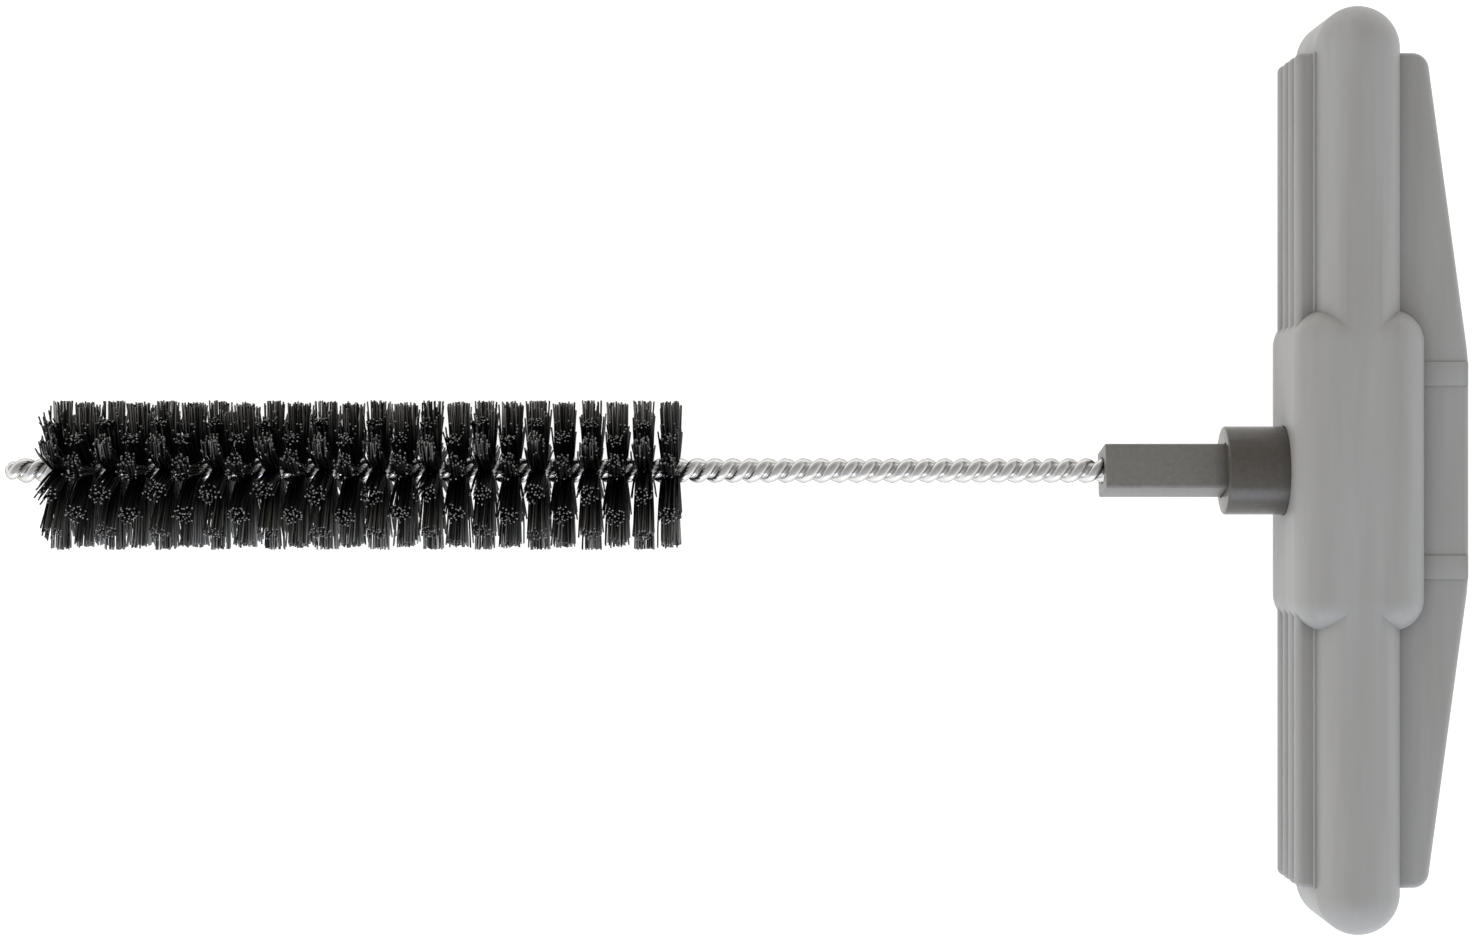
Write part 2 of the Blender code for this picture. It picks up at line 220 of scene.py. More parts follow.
zinc, tree, output, place = start_material("galvanised steel")
drawn = add_node(tree, "ShaderNodeTexNoise", {"noise_dimensions": "3D"},
                 {"Scale": 1 / DRAWING_MARKS, "Detail": 2.0}, {"Vector": place})
gloss = add_node(tree, "ShaderNodeMapRange", None, {"To Min": 0.18, "To Max": 0.26},
                 {"Value": drawn.outputs["Fac"]})
tone = add_node(tree, "ShaderNodeMix", {"data_type": "RGBA"},
                {"A": linear("#D3D2D1"), "B": linear("#E3E2E1")}, {"Factor": drawn.outputs["Fac"]})
bump = add_node(tree, "ShaderNodeBump", None, {"Strength": 0.6, "Distance": 0.00001},
                {"Height": drawn.outputs["Fac"]})
shader = add_node(tree, "ShaderNodeBsdfPrincipled", None,
                  {"Metallic": 1.0, "Specular Tint": linear("#A29E9A")},
                  {"Base Color": tone.outputs["Result"], "Roughness": gloss.outputs["Result"],
                   "Normal": bump.outputs["Normal"]})
tree.links.new(shader.outputs["BSDF"], output.inputs["Surface"])

# %% [markdown]
# ## Nylon bristles
#
# Each bristle is a black nylon filament, 0.2 mm thick, with a faint sheen. Painted light greys it,
# most towards its tip and only where it faces up: it stands in for the light that reaches the tips
# and the shade deep in each tuft. Its trimmed end is rough, grey and scatters light. The two
# finishes share one mesh. An attribute called tone holds how grey each point is: it grows from root
# to tip as painted light, and it differs at random from filament to filament, so a tuft doesn't
# look cast in one piece.

# %% The bristles' finishes
nylon, tree, output, _ = start_material("black nylon filament")
own_tone = add_node(tree, "ShaderNodeAttribute", {"attribute_name": "tone"})
facing = add_node(tree, "ShaderNodeNewGeometry").outputs["Normal"]
facing = add_node(tree, "ShaderNodeSeparateXYZ", None, None, {"Vector": facing})
# Painted light: greyer where the filament faces up, and towards its tip by its tone.
facing_up_light = add_node(tree, "ShaderNodeMapRange", None,
                   {"From Min": 0.6, "From Max": 0.93, "To Min": 0.02, "To Max": 1.0},
                   {"Value": facing.outputs["Z"]})
painted_tip_light = add_node(tree, "ShaderNodeMath", {"operation": "MULTIPLY"}, None,
                {0: own_tone.outputs["Fac"], 1: facing_up_light.outputs["Result"]})
tone = add_node(tree, "ShaderNodeMix", {"data_type": "RGBA"},
                {"A": linear("#0E0E0E"), "B": linear("#CACAC9")}, {"Factor": painted_tip_light.outputs["Value"]})
shader = add_node(tree, "ShaderNodeBsdfPrincipled", None,
                  {"IOR": 1.53, "Roughness": 0.5, "Specular IOR Level": 0.2},
                  {"Base Color": tone.outputs["Result"]})
tree.links.new(shader.outputs["BSDF"], output.inputs["Surface"])

cut_nylon, tree, output, _ = start_material("trimmed nylon end")
own_tone = add_node(tree, "ShaderNodeAttribute", {"attribute_name": "tone"})
tone = add_node(tree, "ShaderNodeMix", {"data_type": "RGBA"},
                {"A": linear("#464645"), "B": linear("#909090")},
                {"Factor": own_tone.outputs["Fac"]})
shader = add_node(tree, "ShaderNodeBsdfPrincipled", None, {"IOR": 1.53, "Roughness": 0.7},
                  {"Base Color": tone.outputs["Result"]})
tree.links.new(shader.outputs["BSDF"], output.inputs["Surface"])

# %% [markdown]
# ## From a shape to a piece
#
# A bmesh is a workbench for a shape. When the shape is done it becomes a mesh, the mesh gets an
# object, the object is told which body of the tool it moves with, and the solid it stands for is
# hidden.
# Smooth shading is broken wherever two faces meet at more than 35 degrees.


# %% Helpers that finish a shape
SMOOTH_LIMIT = radians(35)


def finished_mesh(name, bm, *finishes):
    """The mesh of a finished shape, shaded smooth up to 35 degrees."""
    bmesh.ops.recalc_face_normals(bm, faces=bm.faces)
    mesh = bpy.data.meshes.new(name)
    bm.to_mesh(mesh)
    bm.free()
    for finish in finishes:
        mesh.materials.append(finish)
    mesh.shade_smooth()
    mesh.set_sharp_from_angle(angle=SMOOTH_LIMIT)
    return mesh


def add_piece(name, mesh, body, node):
    """A piece of the tool that shows in place of a node of the construction model."""
    piece = bpy.data.objects.new(name, mesh)
    bpy.context.scene.collection.objects.link(piece)
    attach(piece, body)
    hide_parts(node)


def verts_of(geometry):
    """The vertices in what an operator returns."""
    return [item for item in geometry if isinstance(item, bmesh.types.BMVert)]


def edges_of(geometry):
    """The edges in what an operator returns."""
    return [item for item in geometry if isinstance(item, bmesh.types.BMEdge)]


# %% [markdown]
# ## The handle's bar
#
# The bar has straight sides, two round ends and a nearly half-round crown on both faces. It is
# drawn like a running track: one half profile is spun round the first end, pushed straight down the
# far side, spun round the second end and pushed back. The profile itself starts as a single vertex,
# which two spins pull out into the crown and the eased edge.

# %% Spin the bar
BAR_WIDTH = 0.0090
BAR_LENGTH = 0.0993
BAR_TOP = 0.00939
BAR_CROWN_RADIUS = 0.0046
BAR_EDGE = 0.0006
CROWN_STEPS = 14
END_STEPS = 32


def half_profile(bm, y):
    """The profile of one side of the bar: crown, rounded edge, straight side and their mirror."""
    half = BAR_WIDTH / 2
    crown_centre = BAR_TOP - BAR_CROWN_RADIUS
    slope = asin((half - BAR_EDGE) / (BAR_CROWN_RADIUS - BAR_EDGE))
    top = bm.verts.new((0.0, y, BAR_TOP))
    crown = bmesh.ops.spin(bm, geom=[top], cent=(0.0, y, crown_centre), axis=(0.0, 1.0, 0.0),
                           angle=slope, steps=CROWN_STEPS)
    edge_centre = (half - BAR_EDGE, y, crown_centre + (BAR_CROWN_RADIUS - BAR_EDGE) * cos(slope))
    edge = bmesh.ops.spin(bm, geom=verts_of(crown["geom_last"]), cent=edge_centre,
                          axis=(0.0, 1.0, 0.0), angle=pi / 2 - slope, steps=2)
    corner = verts_of(edge["geom_last"])[0]
    foot = bm.verts.new((corner.co.x, y, 0.0))
    bm.edges.new((corner, foot))
    bmesh.ops.mirror(bm, geom=bm.verts[:] + bm.edges[:], axis="Z", merge_dist=GAP / 1000)
    return bm.verts[:] + bm.edges[:]


def push(bm, geometry, vector):
    """Pushes a line of edges straight, and returns where it ends."""
    pushed = bmesh.ops.extrude_edge_only(bm, edges=edges_of(geometry))["geom"]
    ends = verts_of(pushed)
    bmesh.ops.translate(bm, verts=ends, vec=vector)
    return ends + [e for e in edges_of(pushed) if e.verts[0] in ends and e.verts[1] in ends]


def bar_shape():
    """The whole bar."""
    bm = bmesh.new()
    y = (BAR_LENGTH - BAR_WIDTH) / 2
    line = half_profile(bm, y)
    line = bmesh.ops.spin(bm, geom=line, cent=(0.0, y, 0.0), axis=(0.0, 0.0, 1.0), angle=pi,
                          steps=END_STEPS)["geom_last"]
    line = push(bm, line, (0.0, -2 * y, 0.0))
    line = bmesh.ops.spin(bm, geom=line, cent=(0.0, -y, 0.0), axis=(0.0, 0.0, 1.0), angle=pi,
                          steps=END_STEPS)["geom_last"]
    push(bm, line, (0.0, 2 * y, 0.0))
    bmesh.ops.remove_doubles(bm, verts=bm.verts, dist=GAP / 100)
    bmesh.ops.recalc_face_normals(bm, faces=bm.faces)
    return bm


# %% [markdown]
# ## The block, the fins and the webs
#
# The block in the middle is a box with every edge well rounded. Four thin fins run along the bar.
# Each is a flat outline, pushed to its thickness, with its corners rounded first and its rims
# after. Two webs tie the fins together at the palm. On the brush's side a solid core fills the gaps
# between the fins, up to shallow grooves, and a low ledge runs along the foot of the bar.

# %% Model the block, a fin, a web, the core and the ledge
BLOCK_LENGTH = 0.0343
BLOCK_DEPTH = 0.0188
BLOCK_EDGE = 0.0035
FIN_COUNT = 4
FIN_PITCH = 0.0033
FIN_THICKNESS = 0.0016
FIN_LENGTH = 0.0894
FIN_FRONT_REACH = 0.00665
FIN_END_REACH = 0.0075
FIN_PALM_REACH = 0.01195
FIN_PALM_LENGTH = 0.0238
FIN_CORNER = 0.0015
FIN_FRONT_CORNER = 0.0008
FIN_EDGE = 0.0007
WEB_SPACING = 0.0207
WEB_WIDTH = 0.0026
WEB_RISE = 0.00014
WEB_SETBACK = 0.00015
CORE_REACH = 0.0057
CORE_SHORTER = 0.001
CORE_EDGE = 0.0002
LEDGE_WIDTH = 0.0003
LEDGE_HEIGHT = 0.0002


def box_shape(size, centre, edge, segments):
    """A box with all its edges rounded."""
    bm = bmesh.new()
    bmesh.ops.create_cube(bm, size=1.0, matrix=Matrix.Diagonal((*size, 1.0)))
    bmesh.ops.bevel(bm, geom=bm.edges[:], offset=edge, segments=segments, profile=0.5,
                    affect="EDGES", material=-1)
    bmesh.ops.translate(bm, verts=bm.verts, vec=centre)
    return bm


def block_shape():
    """The block in the middle."""
    return box_shape((BLOCK_WIDTH, BLOCK_LENGTH, BLOCK_DEPTH), (0.0, 0.0, 0.0), BLOCK_EDGE, 12)


def fin_shape(z):
    """One fin, its middle plane at this height."""
    bm = bmesh.new()
    y, flat = FIN_LENGTH / 2, FIN_PALM_LENGTH / 2
    corners = ((FIN_END_REACH, y), (-FIN_FRONT_REACH, y), (-FIN_FRONT_REACH, -y),
               (FIN_END_REACH, -y), (FIN_PALM_REACH, -flat), (FIN_PALM_REACH, flat))
    outline = bm.faces.new([bm.verts.new((cx, cy, -FIN_THICKNESS / 2)) for cx, cy in corners])
    top = bmesh.ops.extrude_face_region(bm, geom=[outline], use_keep_orig=True)["geom"]
    bmesh.ops.translate(bm, verts=verts_of(top), vec=(0.0, 0.0, FIN_THICKNESS))
    for front, radius in ((True, FIN_FRONT_CORNER), (False, FIN_CORNER)):
        upright = [e for e in bm.edges if abs(e.verts[0].co.z - e.verts[1].co.z) > GAP
                   and (e.verts[0].co.x < 0) == front]
        bmesh.ops.bevel(bm, geom=upright, offset=radius, segments=8, profile=0.5, affect="EDGES",
                        material=-1)
    rims = [e for e in bm.edges if abs(e.verts[0].co.z - e.verts[1].co.z) < GAP]
    bmesh.ops.bevel(bm, geom=rims, offset=FIN_EDGE, segments=5, profile=0.5, affect="EDGES",
                    material=-1)
    bmesh.ops.translate(bm, verts=bm.verts, vec=(0.0, 0.0, z))
    bmesh.ops.recalc_face_normals(bm, faces=bm.faces)
    return bm


def web_shape(y):
    """One web, from inside the bar, and just proud of the outer fins."""
    depth = (FIN_COUNT - 1) * FIN_PITCH + FIN_THICKNESS + 2 * WEB_RISE
    reach = FIN_PALM_REACH - WEB_SETBACK
    return box_shape((reach, WEB_WIDTH, depth), (reach / 2, y, 0.0), WEB_RISE, 2)


def core_shape():
    """The solid core between the fins, which leaves only shallow grooves on the brush's side."""
    depth = (FIN_COUNT - 1) * FIN_PITCH
    return box_shape((CORE_REACH, FIN_LENGTH - CORE_SHORTER, depth), (-CORE_REACH / 2, 0.0, 0.0),
                     CORE_EDGE, 2)


def ledge_shape():
    """The low ledge between the bar's foot and the outer fins."""
    depth = (FIN_COUNT - 1) * FIN_PITCH + FIN_THICKNESS + 2 * LEDGE_HEIGHT
    reach = BAR_WIDTH / 2 + LEDGE_WIDTH
    return box_shape((reach, FIN_LENGTH, depth), (-reach / 2, 0.0, 0.0), LEDGE_HEIGHT, 4)


# %% [markdown]
# ## One moulding from many shapes
#
# The whole handle is one moulding, so the shapes are fused into one skin with Boolean unions, and
# nothing is left inside. Each shape first gets a number on its faces. After the union, an edge
# between two numbers is where two forms meet, and it stays crisp. Last, the seat for the collar and
# for its foot is cut out of the block.

# %% Fuse and cut with Booleans
COLLAR_SEAT = 0.0080
SEAT_ROOM = 0.0001
FOOT_OVERHANG = 0.0005
FOOT_THICKNESS = 0.0025
COLLAR_SIDES = 96


def numbered(bm, number):
    """A shape whose faces all carry this number."""
    layer = bm.faces.layers.int.new("shape")
    for face in bm.faces:
        face[layer] = number
    return bm


def fused(name, base, tools):
    """A base shape after each (operation, shape) in turn, and its edges between two shapes."""
    shapes = [("BASE", base)] + tools
    objects = []
    for number, (_, bm) in enumerate(shapes):
        mesh = bpy.data.meshes.new(f"{name} {number}")
        numbered(bm, number).to_mesh(mesh)
        bm.free()
        objects.append(bpy.data.objects.new(mesh.name, mesh))
        bpy.context.scene.collection.objects.link(objects[-1])
    for (operation, _), tool in zip(shapes[1:], objects[1:]):
        step = objects[0].modifiers.new(tool.name, "BOOLEAN")
        step.operation = operation
        step.object = tool
    graph = bpy.context.evaluated_depsgraph_get()
    mesh = bpy.data.meshes.new_from_object(objects[0].evaluated_get(graph), depsgraph=graph)
    for made in objects:
        bpy.data.meshes.remove(made.data)
    bm = bmesh.new()
    bm.from_mesh(mesh)
    bpy.data.meshes.remove(mesh)
    bmesh.ops.remove_doubles(bm, verts=bm.verts, dist=GAP / 300)
    bmesh.ops.dissolve_degenerate(bm, edges=bm.edges, dist=GAP / 300)
    layer = bm.faces.layers.int["shape"]
    creases = [e for e in bm.edges
               if len(e.link_faces) == 2 and e.link_faces[0][layer] != e.link_faces[1][layer]]
    print(f"{name}: {len(bm.faces)} faces, {len(creases)} crease edges,",
          sum(1 for e in bm.edges if len(e.link_faces) != 2), "open edges")
    return bm, creases


def round_bar(x, length, radius, sides):
    """A bar along X that starts at x."""
    bm = bmesh.new()
    place = Matrix.Translation((x + length / 2, 0.0, 0.0)) @ Matrix.Rotation(pi / 2, 4, "Y")
    bmesh.ops.create_cone(bm, cap_ends=True, segments=sides, radius1=radius, radius2=radius,
                          depth=length, matrix=place)
    return bm


collar_radius = (collar_high.z - collar_low.z) / 2 - FOOT_OVERHANG
seat_depth = COLLAR_SEAT + GAP
seat = round_bar(-BLOCK_WIDTH / 2 - collar_radius, collar_radius + seat_depth,
                 collar_radius + SEAT_ROOM, COLLAR_SIDES)
foot_seat_radius = (collar_radius + FOOT_OVERHANG + SEAT_ROOM) / cos(pi / 6)
foot_seat = round_bar(-BLOCK_WIDTH / 2 + COLLAR_SEAT - FOOT_THICKNESS - SEAT_ROOM,
                      FOOT_THICKNESS + 2 * SEAT_ROOM, foot_seat_radius, 6)
fin_heights = [(i - (FIN_COUNT - 1) / 2) * FIN_PITCH for i in range(FIN_COUNT)]
parts = ([("UNION", block_shape())] + [("UNION", fin_shape(z)) for z in fin_heights]
         + [("UNION", web_shape(side * WEB_SPACING / 2)) for side in (-1, 1)]
         + [("UNION", ledge_shape()), ("UNION", core_shape())]
         + [("DIFFERENCE", seat), ("DIFFERENCE", foot_seat)])
bm, creases = fused("grip", bar_shape(), parts)
for edge in creases:
    edge.smooth = False
bmesh.ops.transform(bm, matrix=at_handle, verts=bm.verts)
grip_mesh = finished_mesh("grip", bm, grip_plastic)
add_piece("moulded_grip", grip_mesh, "handle", "handle_grip")

# %% [markdown]
# ## The socket collar
#
# The collar is a round insert in a darker plastic, with a square hole. The hexagon foot that keeps
# it from turning is hidden in the block, and a guess.

# %% Model the collar
SHANK_SIDE = 0.00495
SHANK_EDGE = 0.0004
SHANK_END_EDGE = 0.00012
SHANK_END_SLANT = 0.00028
SHANK_ROLL = radians(-13.4)
COLLAR_RIM = 0.00022


def square_bar(x, length, side):
    """A square bar along X, rolled as the shank is: round long edges, a slanted and crisp end."""
    bm = bmesh.new()
    bmesh.ops.create_cube(bm, size=1.0, matrix=Matrix.Diagonal((length, side, side, 1.0)))
    for along, edge, segments in ((True, SHANK_EDGE, 5), (False, SHANK_END_EDGE, 3)):
        chosen = [e for e in bm.edges if (abs(e.verts[0].co.x - e.verts[1].co.x) > GAP) == along]
        bmesh.ops.bevel(bm, geom=chosen, offset=edge, segments=segments, profile=0.5,
                        affect="EDGES", material=-1)
    for vert in bm.verts:
        if vert.co.x < 0:
            vert.co.x -= SHANK_END_SLANT * (0.5 - vert.co.z / side)
    bmesh.ops.translate(bm, verts=bm.verts, vec=(x + length / 2, 0.0, 0.0))
    bmesh.ops.rotate(bm, verts=bm.verts, cent=(0.0, 0.0, 0.0),
                     matrix=Matrix.Rotation(SHANK_ROLL, 3, "X"))
    return bm


body = round_bar(collar_face, collar_high.x - collar_face, collar_radius, COLLAR_SIDES)
rim = [e for e in body.edges if all(v.co.x < collar_face + GAP for v in e.verts)]
bmesh.ops.bevel(body, geom=rim, offset=COLLAR_RIM, segments=3, profile=0.5, affect="EDGES",
                material=-1)
foot = round_bar(collar_high.x - FOOT_THICKNESS, FOOT_THICKNESS,
                 (collar_radius + FOOT_OVERHANG) / cos(pi / 6), 6)
socket = square_bar(collar_face - SHANK_SIDE, SHANK_SIDE + SHANK_PLUG + GAP, SHANK_SIDE + GAP)
bm, _ = fused("collar", body, [("UNION", foot), ("DIFFERENCE", socket)])
bmesh.ops.transform(bm, matrix=on_axis, verts=bm.verts)
add_piece("collar", finished_mesh("collar", bm, collar_plastic), "handle", "socket_collar")

# %% [markdown]
# ## The square shank
#
# The shank holds the end of the wire and plugs into the collar. It is rolled about thirteen degrees
# against the handle, so the camera sees a sliver of its lower side.

# %% Model the shank
WIRE_GRIP = 0.0110
core_radius = (wire_high.z - wire_low.z) / 2

body = square_bar(shank_end, shank_back - shank_end, SHANK_SIDE)
bore = round_bar(shank_end - GAP, WIRE_GRIP + 2 * GAP, core_radius + GAP / 3, 48)
bm, _ = fused("shank", body, [("DIFFERENCE", bore)])
bmesh.ops.transform(bm, matrix=on_axis, verts=bm.verts)
add_piece("shank", finished_mesh("shank", bm, shank_plastic), "brush", "square_shank")

# %% [markdown]
# ## The twisted wire
#
# One wire is folded in half and its two legs are twisted together like a rope. The points of a
# curve give the line of its middle, and a round bevel gives its thickness. The fold at the tip is a
# half circle that is already being twisted. Zinc seems to fill the bottom of the grooves between
# the legs, so a thin bar runs inside them.

# %% Bend the wire
TWIST_PITCH = 0.003843
WIRE_RADIUS = 0.00067
LEG_OFFSET = core_radius - WIRE_RADIUS
TURN_POINTS = 20
FOLD_STEPS = 12
twist_start = wire_tip + core_radius


def twisted(x, sideways):
    """A point of the wire's middle line, so far from the axis, after the twist."""
    angle = tau * (x - twist_start) / TWIST_PITCH
    return Vector((x, sideways * sin(angle), axis_height + sideways * cos(angle)))


leg_length = shank_end + WIRE_GRIP - twist_start
leg_steps = round(leg_length / TWIST_PITCH * TURN_POINTS)
leg_places = [twist_start + leg_length * i / leg_steps for i in range(leg_steps + 1)]
upper = [twisted(x, LEG_OFFSET) for x in leg_places]
lower = [twisted(x, -LEG_OFFSET) for x in leg_places]
fold_angles = [pi * i / FOLD_STEPS for i in range(1, FOLD_STEPS)]
fold = [twisted(twist_start - LEG_OFFSET * sin(a), -LEG_OFFSET * cos(a)) for a in fold_angles]
middle_line = lower[::-1] + fold + upper

curve = bpy.data.curves.new("wire", "CURVE")
curve.dimensions = "3D"
curve.bevel_depth = WIRE_RADIUS
curve.bevel_resolution = 4
curve.use_fill_caps = True
spline = curve.splines.new("POLY")
spline.points.add(len(middle_line) - 1)
for spot, point in zip(spline.points, middle_line):
    spot.co = (*point, 1.0)
bent = bpy.data.objects.new("bent wire", curve)
bpy.context.scene.collection.objects.link(bent)
graph = bpy.context.evaluated_depsgraph_get()
wire_mesh = bpy.data.meshes.new_from_object(bent.evaluated_get(graph), depsgraph=graph)
bpy.data.curves.remove(curve)
wire_mesh.name = "twisted wire"
wire_mesh.materials.clear()
wire_mesh.materials.append(zinc)

# %% Fill the grooves with zinc
FILL_RADIUS = 0.00082
FILL_START = 0.0005

bm = round_bar(twist_start + FILL_START, leg_length - FILL_START, FILL_RADIUS, sides=32)
bmesh.ops.transform(bm, matrix=on_axis, verts=bm.verts)
bm.from_mesh(wire_mesh)
bm.to_mesh(wire_mesh)
bm.free()
wire_mesh.shade_smooth()
wire_mesh.set_sharp_from_angle(angle=SMOOTH_LIMIT)
add_piece("twisted_wire", wire_mesh, "brush", "core_wire")
print("wire:", len(middle_line), "points,", len(wire_mesh.polygons), "faces")

# %% [markdown]
# ## The bristles
#
# The filaments gather in tufts, ten to a row, and the rows are turned half a tuft against each
# other. A tuft is narrow where the wire holds it and opens towards its tips. The whole brush was
# trimmed on a circle half a millimetre off the wire's axis. How many filaments a real tuft has
# can't be counted in the photograph, and thirty fill it as well.
#
# Every filament starts as a five-sided prism. Two more pushes of its end face give it a slight bow.
# No two are alike: each angle, place and length strays a little, by throws of dice with a fixed
# seed.

# %% Grow the tufts
TUFTS = 10
FILAMENTS = 30
FILAMENT_RADIUS = 0.00010
TRIM_RADIUS = 0.00815
TRIM_OFFSET = -0.0005
ROOT_RADIUS = 0.00090
ROOT_SPREAD = Vector((0.00098, 0.00060))
TIP_SPREAD = Vector((0.00122, 0.00110))
BOW_PLACES = (0.38, 0.72)
SECOND_BOW = 0.8
# Painted light along a filament: its tone at the first bow, the second bow and the tip.
TIP_LIGHT_STEPS = (0.08, 0.65, 1.0)
TABLE_CLEARANCE = 0.00012

PLACE_STRAY = 0.05
SIDE_STRAY = 0.00007
AHEAD_STRAY = 0.00008
TRIM_STRAY = 0.00026
BOW_STRAY = 0.00006
ANGLE_STRAY = 0.025
LEAN_STRAY = 0.00007
WILD_SHARE = 0.03
WILD_FACTOR = 3.5
TIP_ROW_LEAN = -0.0001
dice = random.Random(7)


def trim_reach(angle):
    """How far from the wire's axis the cutter trimmed a filament at this angle from +Z."""
    off = TRIM_OFFSET * sin(angle)
    return off + sqrt(off ** 2 - TRIM_OFFSET ** 2 + TRIM_RADIUS ** 2)


def spread_in_disc(count):
    """Even places in a disc of radius 1, a little disturbed."""
    golden = pi * (3 - sqrt(5))
    places = []
    for i in range(count):
        r = sqrt((i + 0.5) / count)
        a = i * golden
        places.append(Vector((r * cos(a) + dice.gauss(0, PLACE_STRAY),
                              r * sin(a) + dice.gauss(0, PLACE_STRAY))))
    return places


def filament_line(x, angle, place, lean):
    """The middle line of one filament: root, two points on its bow, and tip."""
    out = Vector((0.0, sin(angle), cos(angle)))
    across = Vector((0.0, cos(angle), -sin(angle)))
    along = Vector((1.0, 0.0, 0.0))
    root = out * ROOT_RADIUS + along * place.x * ROOT_SPREAD.x + across * place.y * ROOT_SPREAD.y
    wild = WILD_FACTOR if dice.random() < WILD_SHARE else 1.0
    side = place.y * TIP_SPREAD.y + dice.gauss(0, SIDE_STRAY) * wild
    ahead = place.x * TIP_SPREAD.x + lean + dice.gauss(0, AHEAD_STRAY) * wild
    tip_angle = angle + atan2(side, TRIM_RADIUS)
    reach = trim_reach(tip_angle) - abs(dice.gauss(0, TRIM_STRAY))
    tip = Vector((0.0, sin(tip_angle), cos(tip_angle))) * reach + along * ahead
    bow = across * dice.gauss(0, BOW_STRAY) + along * dice.gauss(0, BOW_STRAY)
    start = Vector((x, 0.0, axis_height))
    line = [root, root.lerp(tip, BOW_PLACES[0]) + bow,
            root.lerp(tip, BOW_PLACES[1]) + bow * SECOND_BOW, tip]
    line = [start + point for point in line]
    for point in line:
        point.z = max(point.z, TABLE_CLEARANCE)
    return line


def row_shape(x, first_angle, lean):
    """All the filaments of one row."""
    bm = bmesh.new()
    tone = bm.verts.layers.float.new("tone")
    ends, lines, tones = [], [], []
    for tuft in range(TUFTS):
        angle = first_angle + tau * tuft / TUFTS + dice.gauss(0, ANGLE_STRAY)
        tuft_lean = lean + dice.gauss(0, LEAN_STRAY)
        for place in spread_in_disc(FILAMENTS):
            line = filament_line(x, angle, place, tuft_lean)
            first = line[1] - line[0]
            turn = first.to_track_quat("Z", "X").to_matrix().to_4x4()
            stand = Matrix.Translation((line[0] + line[1]) / 2) @ turn
            made = bmesh.ops.create_cone(bm, cap_ends=True, segments=5, radius1=FILAMENT_RADIUS,
                                         radius2=FILAMENT_RADIUS, depth=first.length, matrix=stand)
            cap = max({f for v in made["verts"] for f in v.link_faces if len(f.verts) == 5},
                      key=lambda f: (f.calc_center_median() - line[0]).length)
            ends.append(cap)
            lines.append(line)
            tones.append(dice.random())
            for vert in cap.verts:
                vert[tone] = tones[-1] * TIP_LIGHT_STEPS[0]
    # Painted light: the tone grows towards the tip with each push.
    for step in (2, 3):
        ends = bmesh.ops.extrude_discrete_faces(bm, faces=ends)["faces"]
        for end, line, shade in zip(ends, lines, tones):
            shift = line[step] - line[step - 1]
            for vert in end.verts:
                vert.co += shift
                vert[tone] = shade * TIP_LIGHT_STEPS[step - 1]
    for end in ends:
        end.material_index = 1
    return bm


tuft_step = tau / TUFTS
for i, (name, x) in enumerate(zip(row_names, row_places)):
    odd = (len(row_names) - 1 - i) % 2
    lean = TIP_ROW_LEAN if i == 0 else 0.0
    bm = row_shape(x, odd * tuft_step / 2, lean)
    mesh = finished_mesh(f"tufts {i + 1:02d}", bm, nylon, cut_nylon)
    add_piece(f"tufts_{i + 1:02d}", mesh, "brush", name)
print("filaments:", len(row_names) * TUFTS * FILAMENTS)

# %% [markdown]
# ## The table and the light
#
# The photograph's ground is white. Here it is a white table between bright walls, under a dim
# ceiling. To the camera and in reflections the table glows, so that it shows as white, and it still
# takes the tool's shadow. The walls light the tool from all sides, a little more and cooler from
# below the picture, and warmer from above it. The dim ceiling darkens what faces it. One lamp
# stands in for a window below the picture: it gives the round forms their soft bluish highlight.
# Mirrored in a surface, the window's side of the room is bright and the far side is grey.

# %% Set the table
TABLE_HALF_SIZE = 2.0
TABLE_GLOW = 0.80


def seeing_rays(tree):
    """The light path node, and 1 for rays that look at a thing and 0 for rays that light it."""
    rays = add_node(tree, "ShaderNodeLightPath")
    seen = add_node(tree, "ShaderNodeMath", {"operation": "MAXIMUM"}, None,
                    {0: rays.outputs["Is Camera Ray"], 1: rays.outputs["Is Glossy Ray"]})
    seen = add_node(tree, "ShaderNodeMath", {"operation": "MAXIMUM"}, None,
                    {0: seen.outputs["Value"], 1: rays.outputs["Is Transmission Ray"]})
    return rays, seen.outputs["Value"]


bm = bmesh.new()
bmesh.ops.create_grid(bm, x_segments=1, y_segments=1, size=TABLE_HALF_SIZE)
table_mesh = bpy.data.meshes.new("table")
bm.to_mesh(table_mesh)
bm.free()
table = bpy.data.objects.new("table", table_mesh)
bpy.context.scene.collection.objects.link(table)

paper, tree, output, _ = start_material("white paper")
_, seen = seeing_rays(tree)
glow = add_node(tree, "ShaderNodeMath", {"operation": "MULTIPLY"}, {1: TABLE_GLOW}, {0: seen})
diffuse = add_node(tree, "ShaderNodeBsdfDiffuse", None, {"Color": (0.55, 0.55, 0.55, 1.0)})
emission = add_node(tree, "ShaderNodeEmission", None, {"Color": (1.0, 1.0, 1.0, 1.0)},
                    {"Strength": glow.outputs["Value"]})
both = add_node(tree, "ShaderNodeAddShader", None, None,
                {0: diffuse.outputs["BSDF"], 1: emission.outputs["Emission"]})
tree.links.new(both.outputs["Shader"], output.inputs["Surface"])
table_mesh.materials.append(paper)

# %% Light the room
CEILING_LEVEL = 0.37


def facing_towards(tree, direction, vector):
    """How much a direction points along a vector."""
    return add_node(tree, "ShaderNodeVectorMath", {"operation": "DOT_PRODUCT"}, {1: vector},
                    {0: direction}).outputs["Value"]


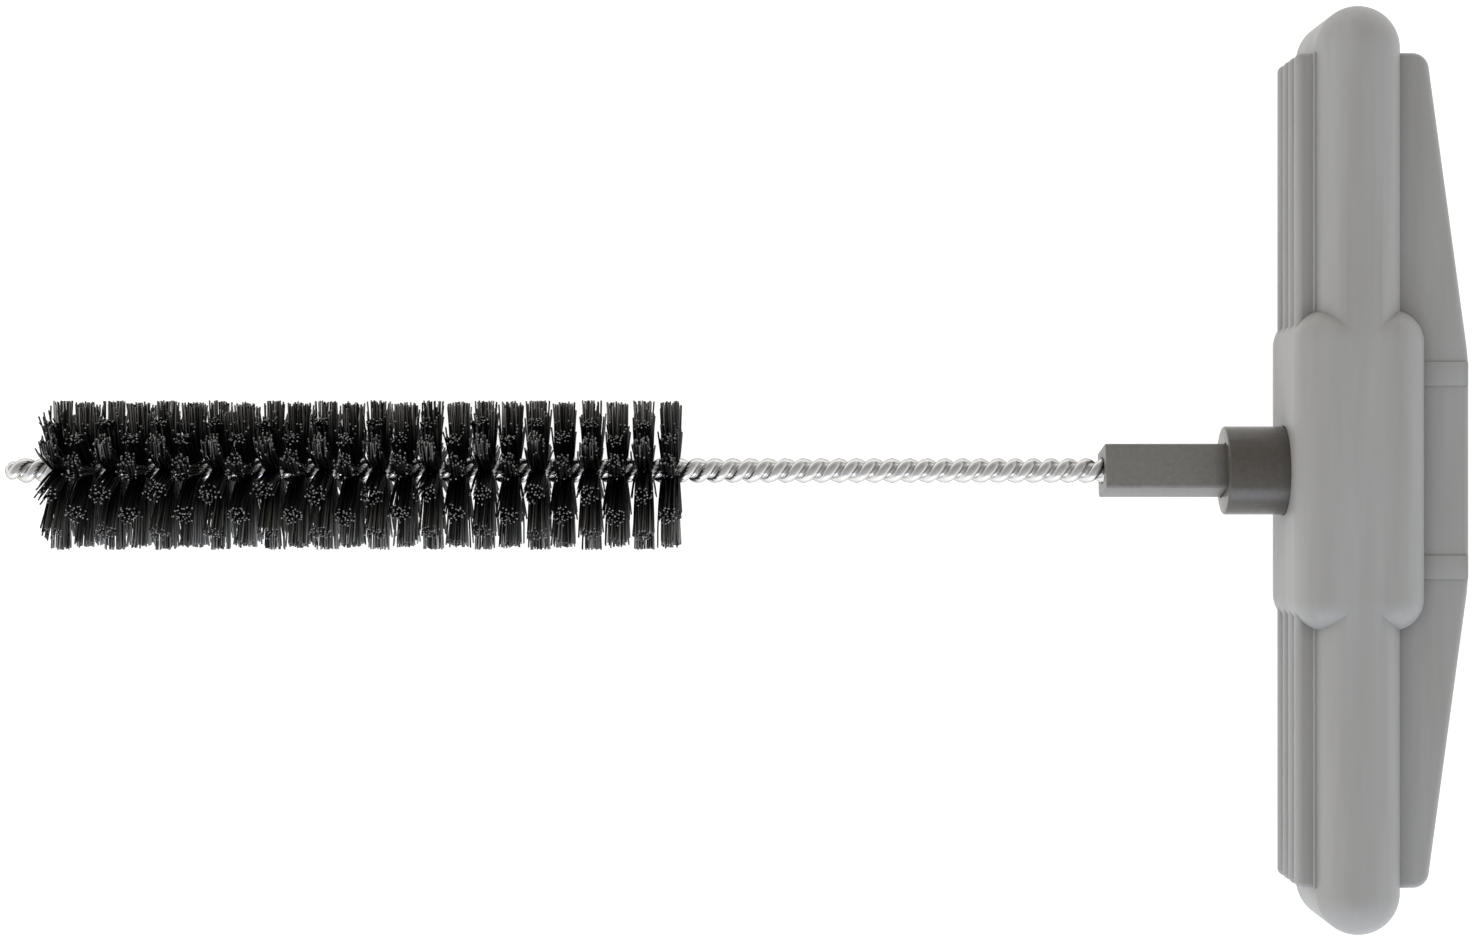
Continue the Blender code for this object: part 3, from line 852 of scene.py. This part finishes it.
world = bpy.data.worlds.new("room")
bpy.context.scene.world = world
world.use_nodes = True
tree = world.node_tree
tree.nodes.clear()
output = add_node(tree, "ShaderNodeOutputWorld")
direction = add_node(tree, "ShaderNodeTexCoord").outputs["Generated"]
ceiling = facing_towards(tree, direction, (0.0, 0.05, 0.9987))
overhead = add_node(tree, "ShaderNodeMapRange", {"interpolation_type": "SMOOTHSTEP"},
                    {"From Min": 0.26, "From Max": 0.76}, {"Value": ceiling})
key = facing_towards(tree, direction, (-0.05, -0.35, 0.0))
walls = add_node(tree, "ShaderNodeMapRange", None,
                 {"From Min": -1.0, "From Max": 1.0, "To Min": 1.9, "To Max": 2.65}, {"Value": key})
level = add_node(tree, "ShaderNodeMix", {"data_type": "FLOAT"}, {"B": CEILING_LEVEL},
                 {"Factor": overhead.outputs["Result"], "A": walls.outputs["Result"]})
warm_side = facing_towards(tree, direction, (-0.5, 0.85, 0.0))
cool_to_warm = add_node(tree, "ShaderNodeMapRange", None, {"From Min": -1.0, "From Max": 1.0},
                        {"Value": warm_side})
tint = add_node(tree, "ShaderNodeMix", {"data_type": "RGBA"},
                {"A": linear("#F0F6FF"), "B": linear("#FFFBF6")},
                {"Factor": cool_to_warm.outputs["Result"]})
tint = add_node(tree, "ShaderNodeMix", {"data_type": "RGBA"}, {"B": linear("#FFFAF2")},
                {"Factor": overhead.outputs["Result"], "A": tint.outputs["Result"]})
room = add_node(tree, "ShaderNodeBackground", None, None,
                {"Color": tint.outputs["Result"], "Strength": level.outputs["Result"]})
backdrop = add_node(tree, "ShaderNodeMix", {"data_type": "RGBA"},
                    {"A": (1.0, 1.0, 1.0, 1.0), "B": (0.5, 0.5, 0.5, 1.0)},
                    {"Factor": overhead.outputs["Result"]})
rays, seen = seeing_rays(tree)
below = facing_towards(tree, direction, (0.0, -1.0, 0.0))
mirrored = add_node(tree, "ShaderNodeMapRange", None,
                    {"From Min": -1.0, "From Max": 1.0, "To Min": 0.55, "To Max": 1.4},
                    {"Value": below})
strength = add_node(tree, "ShaderNodeMix", {"data_type": "FLOAT"}, {"A": 1.0},
                    {"Factor": rays.outputs["Is Glossy Ray"], "B": mirrored.outputs["Result"]})
white = add_node(tree, "ShaderNodeBackground", None, None,
                 {"Color": backdrop.outputs["Result"], "Strength": strength.outputs["Result"]})
choice = add_node(tree, "ShaderNodeMixShader", None, None,
                  {0: seen, 1: room.outputs["Background"], 2: white.outputs["Background"]})
tree.links.new(choice.outputs["Shader"], output.inputs["Surface"])

# %% Hang the window
WINDOW_SIZE = 0.5
WINDOW_WATTS = 1.5
WINDOW_PLACE = (-0.1, -0.9, 0.45)

window_light = bpy.data.lights.new("cool window", "AREA")
window_light.size = WINDOW_SIZE
window_light.energy = WINDOW_WATTS
window_light.color = linear("#DDEAFF")[:3]
window = bpy.data.objects.new("cool window", window_light)
window.location = WINDOW_PLACE
window.rotation_euler = (-window.location).to_track_quat("-Z", "Y").to_euler()
bpy.context.scene.collection.objects.link(window)

# %% [markdown]
# ## Settings
#
# Standard keeps colours as they are written.

# %% Finish
bpy.context.scene.view_settings.view_transform = "Standard"
